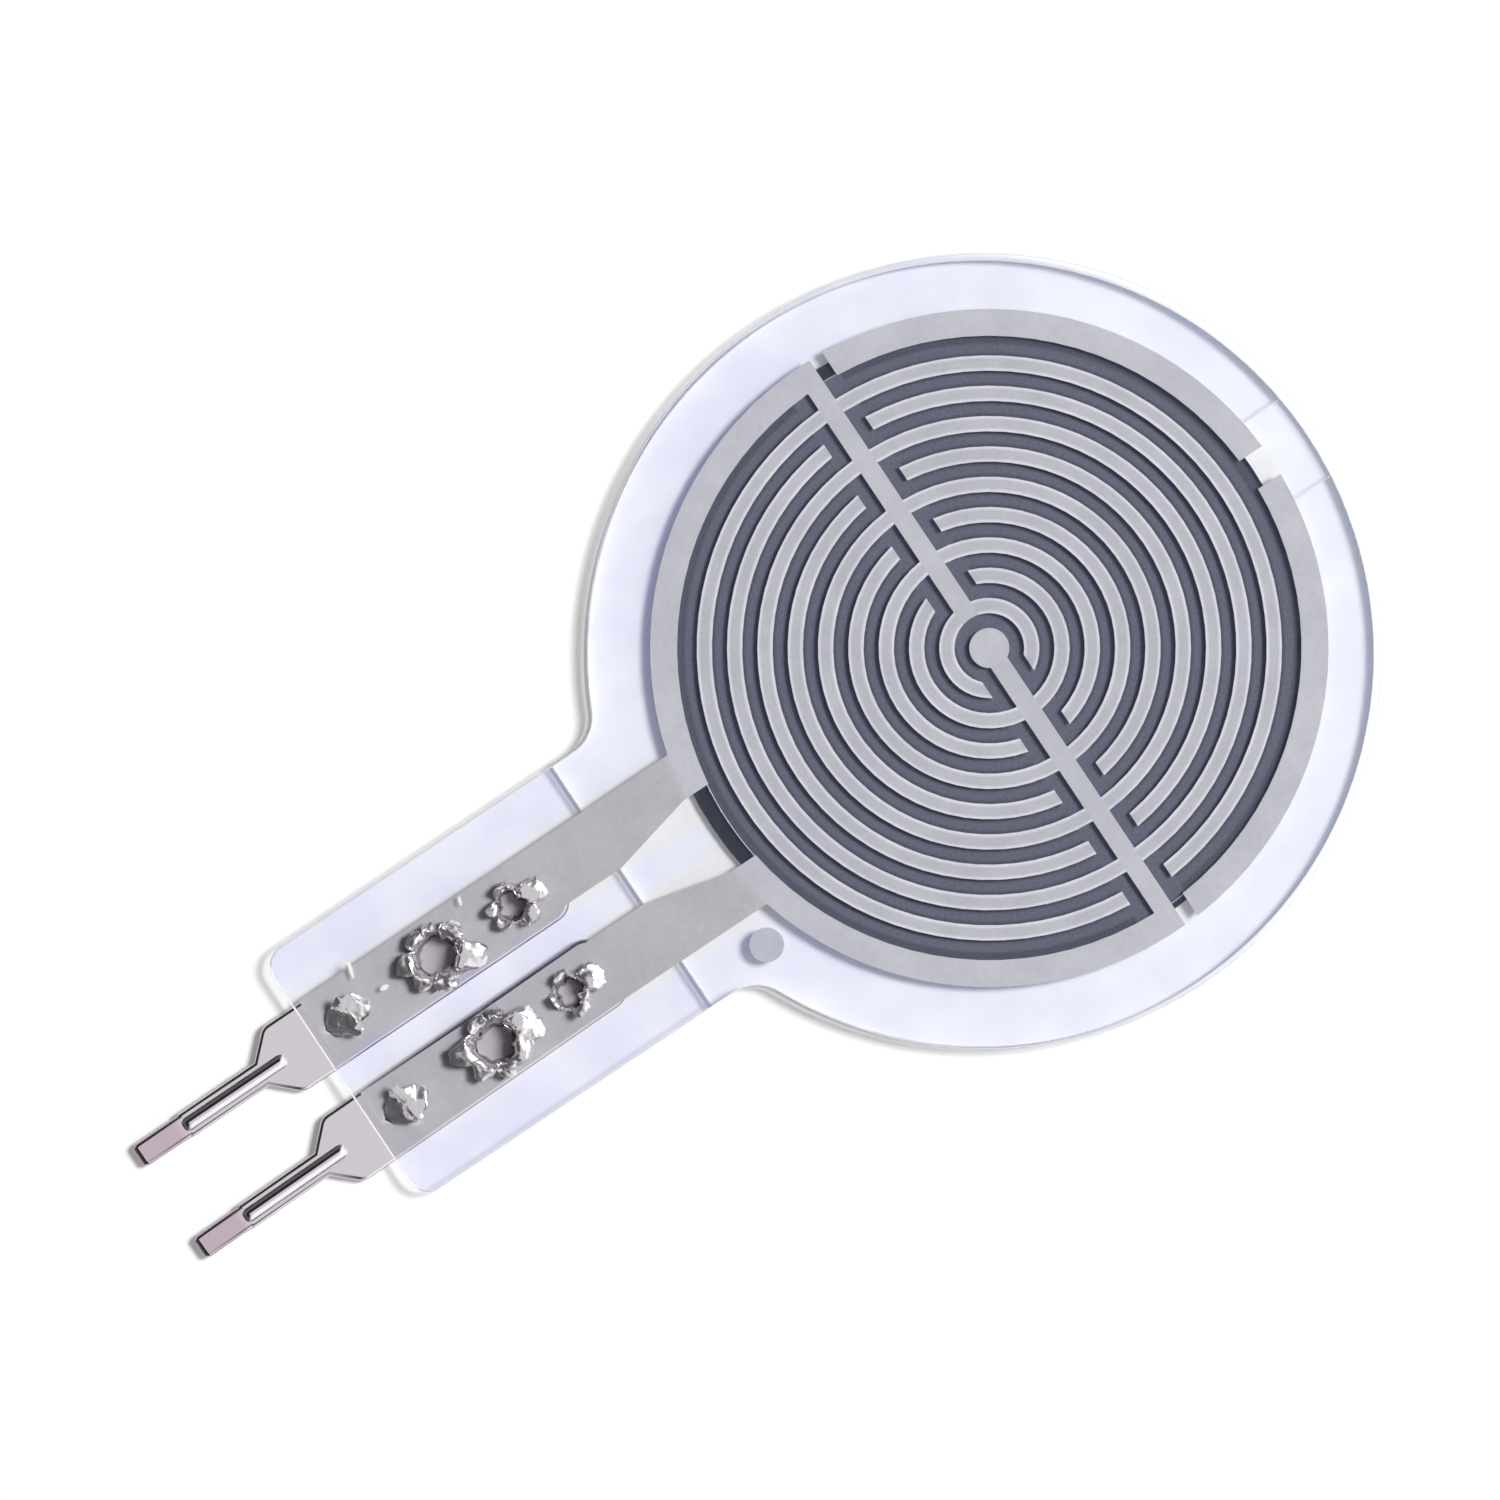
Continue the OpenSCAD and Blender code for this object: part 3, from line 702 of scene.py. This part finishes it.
CRUSHED = [(1.4, 0.06, False), (2.2, 0.10, True), (6.5, 0.035, True)]


def terminal(name, large, small, matrix, seed):
    chance = random.Random(seed)
    bm = strip_bm()
    joined(bm, bead_bm(), Matrix())
    for at, r, top, petals in ((CROWN_AT, LARGE_R, 0.67 - STRIP_TOP, large),
                               (SMALL_AT, SMALL_R, 0.62 - STRIP_TOP, small)):
        crown = crown_bm(r, top, petals, -20, chance)
        crumple(crown, top, CRUSHED, seed + at)
        joined(bm, crown, Matrix.Translation((at * MM, 0, 0)))
        # Painted shade: a thin dark web closes the foot of each collar, where the paper down the hole lies in
        # shade
        joined(bm, plate_bm([arc(at, 0, r - 0.02, 0, 350, 35)], -0.17, -0.11, 0.01), Matrix())
    lance = lance_bm(0.62 - STRIP_TOP, 0.58, 0.98, 0.54)
    crumple(lance, 0.62 - STRIP_TOP, [(2.2, 0.07, True)] + CRUSHED[1:], seed)
    joined(bm, lance, Matrix.Translation((LANCE_AT * MM, 0, 0)))
    bmesh.ops.transform(bm, matrix=matrix, verts=bm.verts)
    piece = shell(name, bm)
    piece.data.set_sharp_from_angle(angle=math.radians(28))
    for face in piece.data.polygons:
        face.use_smooth = abs(face.normal.z) < 0.9995
    return piece


# %% Both terminals
crimp_a = terminal("crimp_a",
                   [[26, 26, 0.40, 1.6], [-33, 34, 0.68, 1.5], [-104, 36, 0.42, 1.5], [-152, 28, 0.50, 1.3],
                    [168, 32, 0.55, 1.2], [115, 28, 0.34, 1.3], [75, 22, 0.26, 1.3]],
                   [[-4, 34, 0.52, 2.2], [-66, 32, 0.30, 1.5], [-150, 30, 0.32, 1.3], [162, 28, 0.34, 1.3],
                    [95, 34, 0.24, 1.3]],
                   FRAMES["a"], 3)
crimp_b = terminal("crimp_b",
                   [[-4, 38, 0.74, 2.2], [-48, 30, 0.42, 1.6], [-100, 30, 0.36, 1.5], [-150, 30, 0.44, 1.3],
                    [166, 36, 0.72, 1.1], [105, 30, 0.30, 1.3], [60, 24, 0.30, 1.3]],
                   [[0, 34, 0.50, 2.2], [-92, 34, 0.22, 1.3], [90, 34, 0.22, 1.3], [180, 30, 0.24, 1.3]],
                   FRAMES["b"], 8)

# %% [markdown]
# ## Clear film
#
# Polyester film of this kind is clear with a faint blue cast. What shows is where light can't
# pass straight: a cut wall is milky, and the burr along it catches the light as a thin white
# line. So the film's density depends on how its surface is turned. Over the air gap the film's
# rear mirrors a little light, which greys the carbon; where the adhesive wets it, the black
# stays black.

# %% Film finishes
# Painted highlights: white glints where the crimps strained the film: x, y, turn, half length and half width
STRAIN_GLINTS = [(-16.16, 1.99, 73, 0.25, 0.05), (-15.75, 1.22, -5, 0.13, 0.07), (-13.2, 1.91, 70, 0.13, 0.04)]


def clear_finish(name, tint, face, wall, rim):
    """A clear sheet: its faces are almost nothing, its cut walls are milky."""
    f = Finish(name)
    level = f.facing_up()
    is_face = f.step(level, 0.96, 0.995)
    is_wall = f.step(level, 0.30, 0.08)
    dense = is_face * face + is_wall * wall + (1 - is_face) * (1 - is_wall) * rim
    return f.surface(Base_Color=f.blend(is_face, (0.97, 0.97, 0.98), tint), Roughness=0.12, IOR=1.5, Alpha=dense)


def upper_finish(face, wall, rim):
    """The upper film: tinted against the paper, neutral over the prints, milky where it was cut, with painted
    white highlights where the crimps strained it.
    """
    f = Finish("clear_upper")
    x, y, _ = f.place()
    level = f.facing_up()
    is_face = f.step(level, 0.96, 0.995)
    is_wall = f.step(level, 0.30, 0.08)
    edge = 1 - is_face
    cloud = f.step(f.noise(0.8, 2.0), 0.3, 0.7, 0.8, 1.2) * f.step(x, -10.0, -9.0, 1.3, 1.25)
    at_crimps = f.step(abs(y), 2.4, 2.3) * f.step(x, -17.65, -17.6) * f.step(x, -11.0, -11.1)
    dense = is_face * face * cloud + (is_wall * wall + edge * (1 - is_wall) * rim) * (1 - 0.95 * at_crimps)
    # Towards the bright side of the room it looks paler
    tint = f.blend(f.step(x * 0.8 - y * 0.6, -9.0, 9.0), (0.02, 0.08, 0.80), (0.35, 0.45, 1.0))
    dx = x - PRINT_X
    over_disc = f.step((dx * dx + y * y) ** 0.5, BAND_R + 0.01, BAND_R - 0.01)
    over_trace = f.step(abs(abs(y) - 1.27), 0.97, 0.92) * f.step(x, -7.4, -7.5)
    tint = f.blend(over_disc.most(over_trace), tint, (0.15, 0.17, 0.30))
    glints = None
    for mx, my, turn, length, width in STRAIN_GLINTS:
        c, s = math.cos(math.radians(turn)), math.sin(math.radians(turn))
        along = (x * (c / length) + y * (s / length)) - (mx * c + my * s) / length
        aside = (y * (c / width) - x * (s / width)) - (my * c - mx * s) / width
        glint = f.step(along * along + aside * aside, 1.2, 0.5)
        glints = glint if glints is None else glints.most(glint)
    # Painted highlights: each glint makes the film's face dense and white
    dense = dense.most(glints * is_face * 0.7)
    colour = f.blend(is_face, (0.97, 0.97, 0.98), f.blend(glints, tint, (0.98, 0.98, 0.98)))
    # Painted light: the cut edge at the tail's end glows by emission, in place of light that runs along the sheet
    # and leaves it there
    glow = edge * f.step(x, -17.62, -17.68)
    painted_edge_glow = f.add("ShaderNodeCombineColor", inputs={0: glow, 1: glow, 2: glow})
    return f.surface(Base_Color=colour, Roughness=0.12, IOR=1.5, Alpha=dense, Emission_Color=painted_edge_glow,
                     Emission_Strength=0.4)


film_top.data.materials.append(upper_finish(0.058, 0.80, 0.9))
film_bottom.data.materials.append(clear_finish("clear_lower", (0.8, 0.85, 0.95), 0.007, 0.90, 0.85))
spacer.data.materials.append(clear_finish("clear_adhesive", (0.8, 0.8, 0.9), 0.007, 0.90, 0.6))

# %% [markdown]
# ## Silver ink
#
# Screen-printed silver is a pale grey paste. Ink piles up along the edge of every printed
# line, so a ring has two bright borders and a greyer middle. Under the terminals and the traces
# the ink lies thinner and looks darker.

# %% Silver finish
RING_R, RING_W, RING_STEP = 0.8, 0.35, 0.696
f = Finish("silver")
x, y, z = f.place()
dx = x - PRINT_X
r = (dx * dx + y * y) ** 0.5
from_middle = abs(((r - RING_R) / RING_STEP).fract() * RING_STEP - RING_W / 2)
spine = f.step(abs(dx), 0.24, 0.21)
rings = f.step(r, 7.05, 6.95) * f.step(r, 0.6, 0.7) * (1 - spine)
border = f.step(from_middle, 0.08, 0.15) * rings
grain = f.step(f.noise(9.0, 3.0), 0.2, 0.8, 0.95, 1.05)
on_disc = f.step(r, 7.9, 7.7).most(f.step(abs(y), 2.3, 2.4))
shade = (0.585 + 0.08 * on_disc - 0.045 * rings + 0.25 * border) * grain
dot = f.step(r, 7.85, 7.95) * f.step(abs(y), 2.3, 2.4)
tone = f.add("ShaderNodeCombineColor", inputs={0: shade, 1: shade * 0.992, 2: shade * (1.01 + 0.05 * on_disc - 0.16 * dot)})
silver = f.surface(Base_Color=tone, Roughness=0.55, Metallic=0.0, Specular_IOR_Level=0.2)

# %% [markdown]
# ## Carbon ink
#
# Carbon ink is matt and dark grey. Where the adhesive touches it, the light that its rough
# face would scatter goes into the adhesive instead, so a rim of it looks black.

# %% Carbon finish
f = Finish("carbon")
x, y, z = f.place()
dx = x - PRINT_X
r = (dx * dx + y * y) ** 0.5
speck = f.step(f.noise(14.0, 2.0), 0.3, 0.7, 0.88, 1.12)
wet = f.step(r, OPENING_R, OPENING_R + 0.06)
from_middle = abs(((r - RING_R) / RING_STEP).fract() * RING_STEP - RING_W / 2)
# Painted shade: beside both edges of every ring the carbon is darkened, more than the lamp's shadow alone makes it
beside = f.step(from_middle, 0.29, 0.19) + f.step(from_middle, 0.40, 0.50)
painted_ring_shade = 1 - 0.42 * beside * f.step(abs(dx), 0.6, 0.7)
black = (0.134 * (1 - wet) + 0.012 * wet) * speck * painted_ring_shade
tone = f.add("ShaderNodeCombineColor", inputs={0: black, 1: black * 1.06, 2: black * 1.36})
carbon = f.surface(Base_Color=tone, Roughness=0.7, Specular_IOR_Level=0.2)

for name in ("electrode_a", "electrode_b", "guard_arc_a", "guard_arc_b", "polarity_dot"):
    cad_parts[name].data.materials.clear()
    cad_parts[name].data.materials.append(silver)
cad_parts["carbon_ink_pad"].data.materials.clear()
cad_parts["carbon_ink_pad"].data.materials.append(carbon)

# %% [markdown]
# ## Tinned metal
#
# Bright tin over brass: a nearly mirror-like plating with a soft, warm-pink grey. The press
# left fine drawing lines along the strip, and handling left faint scratches.

# %% Tin finish
f = Finish("tin")
x, y, z = f.place()
lines = f.noise(7.0, 3.0, stretch=(0.12, 1.0, 1.0))
scuff = f.noise(2.2, 4.0, seed=4.0)
torn = f.step(z, 0.29, 0.33) * f.step(x, -17.75, -17.6)
up = f.add("ShaderNodeSeparateXYZ", inputs={0: f.add("ShaderNodeTexCoord", output="Normal")}, output=2)
# Painted shade: the web at the foot of each collar is dull and dark grey
web_painted_shade = f.step(up, 0.5, 0.7) * f.step(z, 0.20, 0.16) * f.step(x, -17.4, -17.3)
rough = f.step(scuff, 0.3, 0.7, 0.10, 0.18) + 0.12 * torn + 0.4 * web_painted_shade
pink = f.step(x, -21.2, -21.6)
shine = (1 - 0.15 * torn) * (1 - web_painted_shade)
tone = f.blend(pink, (0.79, 0.74, 0.79), (0.673, 0.544, 0.63))
# Painted shade: steep walls low under the film, the collars' insides and the strip's cut edges, are darkened
painted_wall_shade = f.step(f.facing_up(), 0.7, 0.4) * f.step(z, 0.33, 0.29) * f.step(x, -17.4, -17.3)
tone = f.blend(torn, f.blend(painted_wall_shade, tone, (0.34, 0.30, 0.33)), (0.72, 0.69, 0.72))
# Painted shade: the web's dark grey
tone = f.blend(web_painted_shade, tone, (0.40, 0.37, 0.40))
creases = f.noise(7.0, 3.0, seed=2.0) * torn
normal = f.bump(lines * 0.3 + scuff * 0.2 + creases * 3.0, 0.25, 0.01)
tin = f.surface(Base_Color=tone, Roughness=rough, Metallic=shine, Normal=normal)
crimp_a.data.materials.append(tin)
crimp_b.data.materials.append(tin)

for piece, node, kind in ((film_top, "electrode_film", "clear_film"), (film_bottom, "sensing_film", "clear_film"),
                          (spacer, "spacer_adhesive", "adhesive"), (crimp_a, "terminal_a", "tinned_metal"),
                          (crimp_b, "terminal_b", "tinned_metal")):
    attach(piece, "root")
    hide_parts(node)
